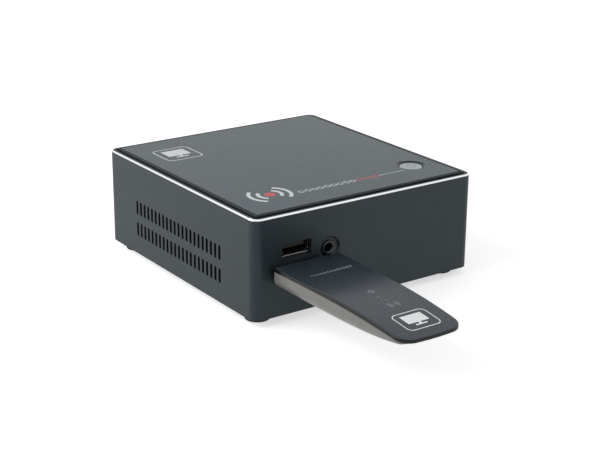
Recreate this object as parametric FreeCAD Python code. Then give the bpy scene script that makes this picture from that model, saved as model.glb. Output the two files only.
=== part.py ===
import FreeCAD, Part
import math
import os

# A small square streaming computer for a meeting-room screen, with a wireless adapter plugged
# into its lower front port.  All sizes are in millimetres.
# The origin is the centre of the four bracket holes, on the underside of the base plate.
# X runs to the right along the front, Y to the back and Z up.

# Driving sizes of the case
case_width = 112.6
case_height = 42.6
wall = 2.0
corner_radius = 4.0
bright_edge = 0.6
deck_recess_inset = 1.9
deck_recess_depth = 1.5
deck_thickness = 1.5
deck_opening_inset = 9.0
vent_count = 22
vent_pitch = 3.25
vent_width = 1.65
vent_length = 6.4
vent_row_heights = (11.75, 21.8)

# Driving sizes of the lid
lid_groove = 0.5
lid_floor = 1.0
lid_rim_width = 1.2
lid_rim_rise = 0.55
lid_plate_groove = 0.35
lid_plate_rise = 0.7
lid_edge_round = 0.3

# Driving sizes of the base, its feet and screws
base_thickness = 1.5
base_clearance = 0.2
bracket_spacing = 75.0
bracket_hole_radius = 1.5
foot_side_inset = 8.1
foot_end_inset = 10.1
foot_ring_radius = 5.8
foot_ring_height = 1.2
foot_pad_radius = 5.3
foot_pad_height = 2.1
foot_pad_bore = 3.0
case_boss_radius = 3.6
case_screw_radius = 1.5
case_screw_length = 13.0
case_screw_head_radius = 2.8
case_screw_head_height = 1.5
thread_clearance = 0.05
screw_head_clearance = 0.2
screw_cross_reach = 0.6
screw_cross_width = 0.28
screw_cross_depth = 0.55
boss_rib_thickness = 2.0
foot_ring_chamfer = 0.3
foot_pad_round = 0.5

# Driving sizes of the mainboard and what carries it
standoff_height = 11.0
standoff_radius = 2.5
standoff_side_inset = 9.8
standoff_end_inset = 19.7
board_thickness = 1.6
board_edge_gap = 1.5
board_notch_gap = 1.0
board_screw_radius = 1.25
board_screw_length = 6.0
screw_head_radius = 2.2
screw_head_height = 1.3

# Driving sizes of the front ports
usb_port_side_inset = 20.4
usb_port_rise = 4.2
usb_port_spacing = 8.8
usb_aperture_width = 14.2
usb_aperture_height = 6.2
usb_opening_width = 12.5
usb_opening_height = 5.12
usb_shell_wall = 0.4
usb_shell_depth = 17.5
usb_core_depth = 4.0
usb_tongue_width = 11.0
usb_tongue_thickness = 1.65
usb_tongue_offset = 0.9
usb_tongue_setback = 1.2
jack_port_spacing = 16.1
jack_rise = 9.95
jack_dish_radius = 5.35
jack_dish_depth = 0.9
jack_dish_step = 0.8
jack_hole_radius = 3.45
jack_nozzle_radius = 3.05
jack_bore_radius = 1.78
jack_bore_length = 14.0
jack_body_width = 12.0
jack_body_depth = 15.0
jack_body_over_axis = 5.0
jack_leadin = 0.5

# Driving sizes of the power button
button_right_inset = 16.0
button_front_inset = 22.5
button_cap_radius = 5.1
button_cap_clearance = 0.3
button_recess = 0.5
button_cap_round = 0.35
button_travel = 0.6
button_flange_radius = 6.1
button_flange_thickness = 0.8
button_flange_gap = 0.3
bezel_radius = 6.3
bezel_top_gap = 0.15
bezel_edge = 0.25
bezel_dish = 0.5
switch_width = 6.0
switch_height = 3.2
switch_plunger_radius = 1.7
switch_plunger_rise = 0.8
switch_plunger_clearance = 0.08
button_board_length = 19.5
button_board_width = 12.0
button_board_thickness = 1.2
button_board_overhang = 6.5
button_boss_radius = 2.0
button_boss_offset = 9.5
button_boss_spread = 3.6
small_screw_radius = 0.9
small_screw_head_radius = 1.7
small_screw_head_height = 0.9
small_screw_length = 4.0

# Driving sizes of the cooling
chip_width = 28.0
chip_height = 1.8
sink_offset = 1.25
sink_width = 56.0
sink_length = 66.0
sink_base = 3.0
sink_fin_inset = 3.0
sink_fin_length = 50.0
sink_fin_thickness = 1.0
sink_fin_count = 13
sink_screw_x = 22.0
sink_screw_y = 30.0
fan_width = 50.0
fan_height = 10.0
fan_top_gap = 5.4
fan_corner_radius = 3.0
fan_bore_radius = 24.0
fan_screw_spacing = 40.0
fan_screw_passage = 1.5
fan_screw_clearance = 0.3
fan_plate = 1.2
fan_strut_width = 2.6
fan_hub_radius = 12.0
fan_hub_wall = 1.4
fan_hub_top = 1.2
fan_rotor_top_gap = 0.6
fan_rotor_low_gap = 0.5
fan_rotor_boss_radius = 2.5
fan_rotor_boss_gap = 0.5
fan_blade_tip_gap = 1.1
fan_blade_end_gap = 0.5
fan_blade_count = 7
fan_blade_thickness = 1.0
fan_blade_pitch = 35.0
fan_post_radius = 3.2
fan_post_height = 6.0
fan_bearing_radius = 2.5
fan_bearing_clearance = 0.02
fan_shaft_radius = 1.0
fan_shaft_clearance = 0.05
fan_shaft_end_gap = 0.3
fan_shaft_press = 0.01
fan_coil_gap = 1.0
fan_coil_height = 4.5
fan_coil_core = 2.0
fan_coil_slot = 1.6
fan_lead_radius = 0.9
fan_lead_rise = 3.5
fan_lead_level = 3.6
fan_lead_drop = 4.0
fan_plug_y = 5.0
fan_plug_width = 4.4
fan_plug_length = 10.0
fan_plug_height = 6.0

# Driving sizes of the memory, wireless card, drive and cell
memory_length = 67.6
memory_width = 30.0
memory_thickness = 1.2
memory_y = 2.0
memory_side_gap = 3.0
memory_rise = 2.4
memory_clearance = 0.05
memory_socket_width = 8.0
memory_socket_height = 5.0
memory_socket_back = 2.5
memory_arm_thickness = 1.2
memory_arm_inset = 4.0
memory_chip_length = 12.0
memory_chip_width = 10.0
memory_chip_height = 1.0
memory_chip_pitch = 15.5
card_length = 30.0
card_width = 22.0
card_thickness = 0.8
card_rise = 1.6
card_past_button = 2.0
card_edge_gap = 0.3
card_post_inset = 2.2
card_post_radius = 1.8
card_can_margin = 3.0
card_can_height = 1.4
card_socket_width = 5.0
card_socket_height = 3.0
card_socket_overlap = 2.0
card_socket_side = 0.5
drive_width = 69.85
drive_length = 100.2
drive_height = 7.0
drive_corner_radius = 1.5
drive_rise = 1.6
drive_front_room = 5.6
drive_back_room = 9.6
drive_side_gap = 0.2
drive_mouth_width = 40.0
drive_mouth_depth = 4.0
drive_mouth_height = 4.0
drive_mouth_rise = 1.0
drive_socket_width = 36.0
drive_socket_reach = 3.5
drive_socket_tongue = 2.0
drive_socket_gap = 0.6
drive_socket_depth = 3.0
drive_screw_rise = 3.0
drive_screw_length = 4.0
drive_screw_room = 0.5
drive_screw_gap = 0.7
tray_thickness = 1.0
tray_wall_rise = 4.9
tray_screw_margin = 5.0
tray_window_margin = 12.0
cell_radius = 8.0
cell_thickness = 3.2
cell_clearance = 0.1
cell_front_gap = 1.0
holder_wall = 0.8
holder_height = 9.0
antenna_length = 40.0
antenna_width = 6.0
antenna_thickness = 0.4
antenna_front_inset = 0.8
antenna_back_inset = 6.0
lead_radius = 0.6
lead_card_inset = 1.5
lead_rise = 7.0
lead_antenna_inset = 3.0
lead_antenna_drop = 8.0

# Driving sizes of the rear panel and its ports
panel_thickness = 1.2
window_sill = 3.0
window_top_gap = 5.0
panel_boss_gap = 0.5
panel_overlap = 4.0
panel_lip = 1.2
panel_base_gap = 0.3
port_stand_out = 0.4
port_hole_clearance = 0.25
port_end_gap = 2.25
port_shell_wall = 0.4
port_block_depth = 3.0
port_tongue_thickness = 1.2
port_tongue_setback = 1.0
lan_width = 16.2
lan_height = 13.4
lan_depth = 21.0
lan_mouth_width = 11.8
lan_mouth_height = 7.6
lan_mouth_depth = 13.0
lan_mouth_setback = 0.3
lan_latch_width = 6.0
lan_latch_height = 1.8
hdmi_width = 15.2
hdmi_height = 5.8
hdmi_depth = 11.5
hdmi_tongue_width = 11.5
mini_width = 8.6
mini_height = 5.6
mini_depth = 10.5
mini_tongue_width = 5.1
power_inlet_width = 9.0
power_inlet_height = 11.0
power_inlet_depth = 13.0
power_inlet_bore = 2.75
power_inlet_back = 3.0
power_inlet_pin = 1.2
power_inlet_pin_setback = 1.0
grille_slot_width = 2.0
grille_slot_pitch = 4.0
grille_slot_count = 15
grille_offset = 6.0
grille_low_gap = 1.2
grille_top_gap = 1.9
lock_slot_width = 7.0
lock_slot_height = 3.0
lock_slot_side_gap = 1.5
rear_screw_height = 24.0
screw_end_room = 1.0

# Driving sizes of the wireless adapter
adapter_port_offset = 3.6
adapter_gap = 1.5
adapter_width = 32.2
adapter_tip_width = 28.4
adapter_length = 79.7
adapter_top_rise = 3.9
adapter_bend_start = 36.0
adapter_bend_radius = 285.0
adapter_cover_edge = 1.5
adapter_seam_start = 27.7
adapter_seam_radius = 430.0
adapter_tip_bulge = 0.95
adapter_tip_radius = 6.0
adapter_root_radius = 1.2
adapter_cover_round = 0.5
adapter_root_depth = 7.2
adapter_belly_depth = 7.9
adapter_belly_place = 34.4
adapter_bow_depth = 6.3
adapter_bow_place = 62.0
adapter_tip_depth = -0.5
adapter_hull_round = 13.0
adapter_hull_round_share = 0.65
adapter_stern_round = 3.0
adapter_wall = 1.3
plug_width = 12.0
plug_height = 4.5
plug_wall = 0.3
plug_reach = 12.0
plug_seat = 5.0
plug_clearance = 0.1
plug_window_width = 2.2
plug_window_length = 2.2
plug_window_spacing = 5.8
plug_window_setback = 4.2
plug_core_thickness = 1.8
plug_core_setback = 0.4
adapter_board_width = 22.0
adapter_board_length = 52.0
adapter_board_thickness = 1.0
adapter_rib_thickness = 1.2
adapter_rib_places = (8.7, 43.5)
adapter_shield_width = 17.0
adapter_shield_length = 30.0
adapter_shield_height = 1.8
adapter_shield_gap = 4.0
light_guide_radius = 0.6
light_guide_clearance = 0.12
light_guide_places = ((0.1, 46.3), (1.0, 49.9))

# Places that follow from the driving sizes.  The case is as deep as its drive needs.
case_depth = drive_length + drive_front_room + drive_back_room + 2 * wall
front_y = -case_depth / 2
back_y = case_depth / 2
side_x = case_width / 2
inner_x = side_x - wall
inner_y = back_y - wall
inner_front_y = front_y + wall
deck_floor_z = case_height - deck_recess_depth
deck_under_z = deck_floor_z - deck_thickness
lid_floor_z = deck_floor_z + lid_floor
lid_top_z = case_height + lid_plate_rise
foot_x = side_x - foot_side_inset
foot_y = back_y - foot_end_inset
foot_places = [(sx * foot_x, sy * foot_y) for sx in (-1, 1) for sy in (-1, 1)]
standoff_x = side_x - standoff_side_inset
standoff_y = back_y - standoff_end_inset
standoff_places = [(sx * standoff_x, sy * standoff_y) for sx in (-1, 1) for sy in (-1, 1)]
board_under_z = base_thickness + standoff_height
board_z = board_under_z + board_thickness
lower_port_z = board_z + usb_port_rise
upper_port_z = lower_port_z + usb_port_spacing
port_face_front = front_y + wall
port_face_back = inner_y + port_stand_out
usb_port_x = -side_x + usb_port_side_inset
jack_x = usb_port_x + jack_port_spacing
jack_z = board_z + jack_rise
button_x = side_x - button_right_inset
button_y = front_y + button_front_inset
memory_x1 = inner_x - board_edge_gap - memory_side_gap
memory_x0 = memory_x1 - memory_width
memory_z = board_z + memory_rise
sink_x = (memory_x0 - inner_x) / 2 + sink_offset
sink_z = board_z + chip_height
fin_top_z = deck_floor_z - fan_top_gap - fan_height
fan_post_top_z = fin_top_z + fan_post_height
cap_top_z = lid_top_z - button_recess
flange_top_z = deck_floor_z - button_flange_gap
flange_under_z = flange_top_z - button_flange_thickness
switch_top_z = flange_under_z - switch_plunger_rise
switch_base_z = switch_top_z - switch_height
plunger_under_z = switch_top_z - switch_height / 2
button_board_z = switch_base_z - button_board_thickness
button_boss_places = [(button_x - button_boss_offset, button_y + s * button_boss_spread) for s in (-1, 1)]
card_x1 = button_x + card_past_button
card_x0 = card_x1 - card_length
card_y = inner_front_y + board_edge_gap + card_edge_gap + card_width / 2
card_z = board_z + card_rise
card_post_x = card_x1 - card_post_inset
panel_y = inner_y - panel_thickness
panel_half_width = foot_x - case_boss_radius - panel_boss_gap
window_half_width = panel_half_width - panel_overlap
window_top_z = case_height - window_top_gap
root_y = front_y - adapter_gap
adapter_x = usb_port_x + adapter_port_offset
adapter_top = lower_port_z + adapter_top_rise


def V(x, y, z):
    return FreeCAD.Vector(x, y, z)


def box(x0, x1, y0, y1, z0, z1):
    return Part.makeBox(x1 - x0, y1 - y0, z1 - z0, V(x0, y0, z0))


def rod(radius, start, length, direction=(0, 0, 1)):
    return Part.makeCylinder(radius, length, V(*start), V(*direction))


def upright_edges(solid):
    found = []
    for edge in solid.Edges:
        a, b = edge.Vertexes[0].Point, edge.Vertexes[-1].Point
        if abs(a.x - b.x) < 1e-6 and abs(a.y - b.y) < 1e-6 and abs(a.z - b.z) > 1e-6:
            found.append(edge)
    return found


def edges_at_height(solid, z):
    return [e for e in solid.Edges if abs(e.BoundBox.ZMin - z) < 1e-6 and abs(e.BoundBox.ZMax - z) < 1e-6]


def round_slab(half_x, half_y, z0, z1, radius):
    """An upright slab about the Z axis with round corners."""
    slab = box(-half_x, half_x, -half_y, half_y, z0, z1)
    return slab.makeFillet(radius, upright_edges(slab))


def inset_slab(inset, z0, z1):
    """A slab whose outline lies a given distance inside the case's outline."""
    radius = max(corner_radius - inset, 0.8)
    return round_slab(side_x - inset, back_y - inset, z0, z1, radius)


def screw(place, way, radius, length, head_radius, head_height):
    """A screw with a cross recess.  Its head's underside is at the place, and its shank points that way."""
    shank = rod(radius, (0, 0, 0), length)
    head = rod(head_radius, (0, 0, -head_height), head_height)
    reach = screw_cross_reach * head_radius
    half = screw_cross_width * head_radius / 2
    floor = (screw_cross_depth - 1) * head_height
    cross = [box(-reach, reach, -half, half, -head_height - 1, floor),
             box(-half, half, -reach, reach, -head_height - 1, floor)]
    whole = shank.fuse(head).removeSplitter().cut(cross)
    whole.Placement = FreeCAD.Placement(V(*place), FreeCAD.Rotation(V(0, 0, 1), V(*way)))
    return whole


def tube(points, radius):
    """A round lead along straight runs joined by the largest tangent arcs that fit."""
    corners = [V(*p) for p in points]
    edges = []
    start = corners[0]
    for before, corner, after in zip(corners, corners[1:], corners[2:]):
        into = (before - corner).normalize()
        out = (after - corner).normalize()
        reach = 0.45 * min((before - corner).Length, (after - corner).Length)
        half_turn = (math.pi - into.getAngle(out)) / 2
        bend = reach / math.tan(half_turn)
        middle = (into + out).normalize()
        centre = corner + middle * (bend / math.cos(half_turn))
        first = corner + into * reach
        last = corner + out * reach
        edges.append(Part.LineSegment(start, first).toShape())
        edges.append(Part.Arc(first, centre - middle * bend, last).toShape())
        start = last
    edges.append(Part.LineSegment(start, corners[-1]).toShape())
    path = Part.Wire(edges)
    ring = Part.Wire([Part.Circle(corners[0], corners[1] - corners[0], radius).toShape()])
    return path.makePipeShell([ring], True, False)


os.makedirs("parts", exist_ok=True)


def save(name, *solids):
    """Write one piece, or a group of like pieces, under its name."""
    shape = solids[0] if len(solids) == 1 else Part.makeCompound(list(solids))
    shape.exportStep("parts/" + name + ".step")


# The shell is one thin-walled square tube with a top deck.  The deck holds the lid in a recess,
# and four bosses in the corners take the screws that come up through the feet.
def make_vents():
    slots = []
    straight = vent_length - vent_width
    for height in vent_row_heights:
        for i in range(vent_count):
            y = (i - (vent_count - 1) / 2) * vent_pitch
            low = height - straight / 2
            body = box(-side_x - 1, side_x + 1, y - vent_width / 2, y + vent_width / 2, low, low + straight)
            for z in (low, low + straight):
                end = rod(vent_width / 2, (-side_x - 1, y, z), case_width + 2, (1, 0, 0))
                body = body.fuse(end)
            slots.append(body.removeSplitter())
    inside = inset_slab(wall + 1.0, 0, case_height)
    return [slot.cut(inside) for slot in slots]


def make_front_openings():
    cuts = []
    for z in (lower_port_z, upper_port_z):
        half_w, half_h = usb_aperture_width / 2, usb_aperture_height / 2
        cuts.append(box(usb_port_x - half_w, usb_port_x + half_w, front_y - 1, front_y + wall + 1,
                        z - half_h, z + half_h))
    cuts.append(rod(jack_hole_radius, (jack_x, front_y - 1, jack_z), wall + 2, (0, 1, 0)))
    cuts.append(Part.makeCone(jack_dish_radius, jack_hole_radius + jack_dish_step, jack_dish_depth,
                              V(jack_x, front_y, jack_z), V(0, 1, 0)))
    return cuts


def rear_screw_places():
    x = window_half_width + panel_overlap / 2
    return [(sx * x, rear_screw_height) for sx in (-1, 1)]


def make_rear_openings():
    cuts = [box(-window_half_width, window_half_width, inner_y - 1, back_y + 1, window_sill, window_top_z)]
    for x, z in rear_screw_places():
        seat = back_y - small_screw_head_height
        cuts.append(rod(small_screw_radius + thread_clearance, (x, inner_y - 1, z), wall + 2, (0, 1, 0)))
        cuts.append(rod(small_screw_head_radius + screw_head_clearance, (x, seat, z), wall, (0, 1, 0)))
    return cuts


def make_case_bosses():
    bosses = []
    half = boss_rib_thickness / 2
    for x, y in foot_places:
        side = math.copysign(inner_x + wall / 2, x)
        end = math.copysign(inner_y + wall / 2, y)
        boss = rod(case_boss_radius, (x, y, base_thickness), deck_under_z - base_thickness)
        to_side = box(*sorted((x, side)), y - half, y + half, base_thickness, deck_under_z)
        to_end = box(x - half, x + half, *sorted((y, end)), base_thickness, deck_under_z)
        bosses.append(boss.fuse([to_side, to_end]).removeSplitter())
    return bosses


def make_shell():
    outer = round_slab(side_x, back_y, 0, case_height, corner_radius)
    outer = outer.makeChamfer(bright_edge, edges_at_height(outer, case_height))
    cavity = inset_slab(wall, -1, deck_under_z)
    recess = inset_slab(deck_recess_inset, deck_floor_z, case_height + 1)
    opening = inset_slab(deck_opening_inset, deck_under_z - 1, case_height)
    shell = outer.cut([cavity, recess, opening])
    shell = shell.fuse(make_case_bosses())
    shell = shell.cut(make_vents() + make_front_openings() + make_rear_openings())
    tapped = [rod(case_screw_radius, (x, y, 0), base_thickness + case_screw_length) for x, y in foot_places]
    return shell.cut(tapped).removeSplitter()


save("shell", make_shell())


# The lid is a moulded tray that sits in the deck's recess, with a thin top plate glued into it.
def make_lid_frame():
    inset = deck_recess_inset + lid_groove
    tray = inset_slab(inset, deck_floor_z, case_height + lid_rim_rise)
    tray = tray.makeChamfer(lid_edge_round, edges_at_height(tray, case_height + lid_rim_rise))
    tray = tray.cut(inset_slab(inset + lid_rim_width, lid_floor_z, lid_top_z + 1))
    bosses = []
    holes = [rod(button_cap_radius + button_cap_clearance, (button_x, button_y, 0), lid_top_z)]
    for x, y in button_boss_places:
        bosses.append(rod(button_boss_radius, (x, y, switch_base_z), deck_floor_z - switch_base_z))
        holes.append(rod(small_screw_radius, (x, y, switch_base_z - 1), small_screw_length + 1))
    return tray.fuse(bosses).cut(holes).removeSplitter()


def make_lid_plate():
    inset = deck_recess_inset + lid_groove + lid_rim_width + lid_plate_groove
    plate = inset_slab(inset, lid_floor_z, lid_top_z)
    plate = plate.makeFillet(lid_edge_round, edges_at_height(plate, lid_top_z))
    return plate.cut(rod(bezel_radius, (button_x, button_y, 0), lid_top_z + 1))


save("lid_frame", make_lid_frame())
save("lid_plate", make_lid_plate())


def make_button_bezel():
    top = lid_top_z - bezel_top_gap
    bore = button_cap_radius + button_cap_clearance
    ring = rod(bezel_radius - thread_clearance, (button_x, button_y, lid_floor_z), top - lid_floor_z)
    low = V(button_x, button_y, top - bezel_dish)
    dish = Part.makeCone(bore, bezel_radius - bezel_edge, bezel_dish, low)
    return ring.cut([rod(bore, (button_x, button_y, 0), lid_top_z), dish])


def make_button_cap():
    cap = rod(button_cap_radius, (button_x, button_y, flange_top_z), cap_top_z - flange_top_z)
    cap = cap.makeFillet(button_cap_round, edges_at_height(cap, cap_top_z))
    flange = rod(button_flange_radius, (button_x, button_y, flange_under_z), button_flange_thickness)
    return cap.fuse(flange).removeSplitter()


def make_push_switch():
    half = switch_width / 2
    body = box(button_x - half, button_x + half, button_y - half, button_y + half,
               switch_base_z, switch_top_z)
    bore_z = plunger_under_z - button_travel - button_flange_gap
    bore = rod(switch_plunger_radius + switch_plunger_clearance, (button_x, button_y, bore_z), case_height)
    return body.cut(bore)


def make_button_board():
    x1 = button_x + button_board_overhang
    x0 = x1 - button_board_length
    half = button_board_width / 2
    board = box(x0, x1, button_y - half, button_y + half, button_board_z, switch_base_z)
    hole_radius = small_screw_radius + thread_clearance
    return board.cut([rod(hole_radius, (x, y, 0), case_height) for x, y in button_boss_places])


save("button_bezel", make_button_bezel())
save("button_cap", make_button_cap())
save("switch_plunger", rod(switch_plunger_radius, (button_x, button_y, plunger_under_z),
                           flange_under_z - plunger_under_z))
save("push_switch", make_push_switch())
save("button_board", make_button_board())
save("button_board_screws", *[
    screw((x, y, button_board_z), (0, 0, 1), small_screw_radius - thread_clearance,
          button_board_thickness + small_screw_length - screw_end_room,
          small_screw_head_radius, small_screw_head_height)
    for x, y in button_boss_places])


# The base plate closes the shell from below.  Four foot rings and rubber pads stand under it,
# and a long screw runs up through the middle of each foot into the shell's boss.
def make_base_plate():
    plate = inset_slab(wall + base_clearance, 0, base_thickness)
    half = bracket_spacing / 2
    bracket_places = [(sx * half, sy * half) for sx in (-1, 1) for sy in (-1, 1)]
    holes = []
    for radius, places in ((case_screw_radius + thread_clearance, foot_places),
                           (bracket_hole_radius, bracket_places),
                           (board_screw_radius, standoff_places)):
        holes += [rod(radius, (x, y, -1), base_thickness + 2) for x, y in places]
    return plate.cut(holes)


def make_foot_ring(x, y):
    ring = rod(foot_ring_radius, (x, y, -foot_ring_height), foot_ring_height)
    ring = ring.makeChamfer(foot_ring_chamfer, edges_at_height(ring, -foot_ring_height))
    hole = rod(case_screw_radius + thread_clearance, (x, y, -foot_ring_height - 1), foot_ring_height + 2)
    return ring.cut(hole)


def make_foot_pad(x, y):
    low = -foot_ring_height - foot_pad_height
    pad = rod(foot_pad_radius, (x, y, low), foot_pad_height)
    pad = pad.makeFillet(foot_pad_round, edges_at_height(pad, low))
    return pad.cut(rod(foot_pad_bore, (x, y, low - 1), foot_pad_height + 2))


save("base_plate", make_base_plate())
save("foot_rings", *[make_foot_ring(x, y) for x, y in foot_places])
save("foot_pads", *[make_foot_pad(x, y) for x, y in foot_places])
save("case_screws", *[
    screw((x, y, -foot_ring_height), (0, 0, 1), case_screw_radius - thread_clearance,
          foot_ring_height + base_thickness + case_screw_length - screw_end_room,
          case_screw_head_radius, case_screw_head_height)
    for x, y in foot_places])


# The mainboard stands on four brass standoffs.  Its corners are cut back round the shell's bosses.
def make_mainboard():
    half_x, half_y = inner_x - board_edge_gap, inner_y - board_edge_gap
    board = box(-half_x, half_x, -half_y, half_y, board_under_z, board_z)
    notch_x = foot_x - case_boss_radius - board_notch_gap
    notch_y = foot_y - case_boss_radius - board_notch_gap
    cuts = []
    for sx in (-1, 1):
        for sy in (-1, 1):
            across = sorted((sx * notch_x, sx * side_x))
            along = sorted((sy * notch_y, sy * back_y))
            cuts.append(box(*across, *along, 0, board_z + 1))
    cuts += [rod(board_screw_radius + thread_clearance, (x, y, 0), board_z + 1) for x, y in standoff_places]
    post = rod(card_post_radius, (card_post_x, card_y, board_z), card_rise)
    board = board.cut(cuts).fuse(post)
    return board.cut(rod(small_screw_radius, (card_post_x, card_y, 0), case_height))


def make_standoff(x, y):
    post = rod(standoff_radius, (x, y, base_thickness), standoff_height)
    return post.cut(rod(board_screw_radius, (x, y, base_thickness - 1), standoff_height + 2))


save("mainboard", make_mainboard())
save("standoffs", *[make_standoff(x, y) for x, y in standoff_places])
save("board_screws", *[
    screw((x, y, board_z), (0, 0, -1), board_screw_radius - thread_clearance, board_screw_length,
          screw_head_radius, screw_head_height)
    for x, y in standoff_places])


# The processor is cooled by a finned sink with a square fan screwed on top.  The fan's rotor
# turns on a steel shaft in a bearing sleeve, round the coils on the frame's post.
sink_screw_places = [(sink_x + sx * sink_screw_x, sy * sink_screw_y) for sx in (-1, 1) for sy in (-1, 1)]
fan_screw_places = [(sink_x + sx * fan_screw_spacing / 2, sy * fan_screw_spacing / 2)
                    for sx in (-1, 1) for sy in (-1, 1)]


def make_heat_sink():
    half = sink_width / 2
    base_top = sink_z + sink_base
    sink = box(sink_x - half, sink_x + half, -sink_length / 2, sink_length / 2, sink_z, base_top)
    fins = []
    step = (sink_width - 2 * sink_fin_inset - sink_fin_thickness) / (sink_fin_count - 1)
    for i in range(sink_fin_count):
        x = sink_x - half + sink_fin_inset + i * step
        fins.append(box(x, x + sink_fin_thickness, -sink_fin_length / 2, sink_fin_length / 2,
                        base_top, fin_top_z))
    hole_radius = board_screw_radius + thread_clearance
    cuts = [rod(hole_radius, (x, y, 0), case_height) for x, y in sink_screw_places]
    for x, y in fan_screw_places:
        cuts.append(rod(board_screw_radius + fan_screw_passage, (x, y, base_top), case_height))
        cuts.append(rod(board_screw_radius, (x, y, sink_z), case_height))
    return sink.fuse(fins).cut(cuts).removeSplitter()


def make_fan_frame():
    half = fan_width / 2
    z = fin_top_z
    frame = box(sink_x - half, sink_x + half, -half, half, z, z + fan_height)
    frame = frame.makeFillet(fan_corner_radius, upright_edges(frame))
    frame = frame.cut(rod(fan_bore_radius, (sink_x, 0, z - 1), fan_height + 2))
    disc = rod(fan_hub_radius, (sink_x, 0, z), fan_plate)
    strut_half = fan_strut_width / 2
    struts = []
    for angle in (45, 135):
        strut = box(sink_x - half, sink_x + half, -strut_half, strut_half, z, z + fan_plate)
        struts.append(strut.rotate(V(sink_x, 0, 0), V(0, 0, 1), angle))
    post = rod(fan_post_radius, (sink_x, 0, z), fan_post_height)
    frame = frame.fuse([disc, post] + struts)
    hole_radius = board_screw_radius + fan_screw_clearance
    cuts = [rod(hole_radius, (x, y, z - 1), fan_height + 2) for x, y in fan_screw_places]
    cuts.append(rod(fan_bearing_radius + fan_bearing_clearance, (sink_x, 0, z + fan_plate), fan_height))
    return frame.cut(cuts).removeSplitter()


def make_fan_rotor():
    low = fin_top_z + fan_plate + fan_rotor_low_gap
    top = fin_top_z + fan_height - fan_rotor_top_gap
    ceiling = top - fan_hub_top
    boss_low = fan_post_top_z + fan_rotor_boss_gap
    cup = rod(fan_hub_radius, (sink_x, 0, low), top - low)
    hollow = rod(fan_hub_radius - fan_hub_wall, (sink_x, 0, low - 1), ceiling - low + 1)
    boss = rod(fan_rotor_boss_radius, (sink_x, 0, boss_low), top - boss_low)
    tip = fan_bore_radius - fan_blade_tip_gap
    half_thick = fan_blade_thickness / 2
    half_rise = (top - low) / 2 - fan_blade_end_gap
    blades = []
    for i in range(fan_blade_count):
        blade = box(fan_hub_radius - fan_hub_wall / 2, tip, -half_thick, half_thick, -half_rise, half_rise)
        blade = blade.rotate(V(0, 0, 0), V(1, 0, 0), fan_blade_pitch)
        blade = blade.rotate(V(0, 0, 0), V(0, 0, 1), i * 360.0 / fan_blade_count)
        blade.translate(V(sink_x, 0, (low + top) / 2))
        blades.append(blade)
    rotor = cup.fuse(blades).cut(hollow).fuse(boss)
    seat = rod(fan_shaft_radius + fan_shaft_press, (sink_x, 0, 0), fan_shaft_top_z)
    return rotor.cut(seat).removeSplitter()


def make_fan_coils():
    z = fin_top_z + fan_plate
    ring = rod(fan_hub_radius - fan_hub_wall - fan_coil_gap, (sink_x, 0, z), fan_coil_height)
    cuts = [rod(fan_post_radius + thread_clearance, (sink_x, 0, z - 1), fan_height)]
    half = fan_coil_slot / 2
    for angle in (0, 90, 180, 270):
        gap = box(fan_post_radius + fan_coil_core, fan_hub_radius, -half, half, -1, fan_height)
        gap = gap.rotate(V(0, 0, 0), V(0, 0, 1), angle)
        gap.translate(V(sink_x, 0, z))
        cuts.append(gap)
    return ring.cut(cuts)


def make_fan_bearing():
    low = fin_top_z + fan_plate
    sleeve = rod(fan_bearing_radius, (sink_x, 0, low), fan_post_top_z - low)
    return sleeve.cut(rod(fan_shaft_radius + fan_shaft_clearance, (sink_x, 0, low - 1), fan_height))


def make_fan_lead():
    """The fan's lead, down past the sink's side into its plug on the mainboard."""
    x = sink_x - fan_width / 2
    z = fin_top_z + fan_lead_rise
    plug_x = (sink_x - sink_width / 2 - inner_x) / 2
    plug_top = board_z + fan_plug_height
    lead = tube([(x, fan_plug_y, z), (x - fan_lead_level, fan_plug_y, z),
                 (plug_x, fan_plug_y, z - fan_lead_drop), (plug_x, fan_plug_y, plug_top)], fan_lead_radius)
    half_x, half_y = fan_plug_width / 2, fan_plug_length / 2
    plug = box(plug_x - half_x, plug_x + half_x, fan_plug_y - half_y, fan_plug_y + half_y,
               board_z, plug_top)
    return lead, plug


fan_shaft_low_z = fin_top_z + fan_plate + fan_shaft_end_gap
fan_shaft_top_z = fin_top_z + fan_height - fan_rotor_top_gap - fan_hub_top / 2
save("processor", box(sink_x - chip_width / 2, sink_x + chip_width / 2, -chip_width / 2, chip_width / 2,
                      board_z, sink_z))
save("heat_sink", make_heat_sink())
save("heat_sink_screws", *[
    screw((x, y, sink_z + sink_base), (0, 0, -1), board_screw_radius - thread_clearance,
          sink_base + chip_height, screw_head_radius, screw_head_height)
    for x, y in sink_screw_places])
save("fan_frame", make_fan_frame())
save("fan_rotor", make_fan_rotor())
save("fan_coils", make_fan_coils())
save("fan_bearing", make_fan_bearing())
save("fan_shaft", rod(fan_shaft_radius, (sink_x, 0, fan_shaft_low_z), fan_shaft_top_z - fan_shaft_low_z))
save("fan_screws", *[
    screw((x, y, fin_top_z + fan_height), (0, 0, -1), board_screw_radius - thread_clearance,
          fin_top_z + fan_height - sink_z - screw_end_room, screw_head_radius, screw_head_height)
    for x, y in fan_screw_places])
save("fan_lead", *make_fan_lead())


# Memory lies flat in its socket to the right of the sink, and the wireless card in front of it.
def make_memory_socket():
    half = memory_length / 2
    x1 = memory_x1 + memory_socket_back
    side = half + memory_arm_thickness
    top = board_z + memory_socket_height
    body = box(x1 - memory_socket_width, x1, memory_y - side, memory_y + side, board_z, top)
    body = body.cut(box(x1 - memory_socket_width - 1, memory_x1, memory_y - half, memory_y + half,
                        memory_z, top + 1))
    arms = []
    for y in (memory_y - side, memory_y + half):
        arms.append(box(memory_x0 + memory_arm_inset, x1, y, y + memory_arm_thickness,
                        board_z, memory_z + memory_thickness))
    return body.fuse(arms).removeSplitter()


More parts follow.
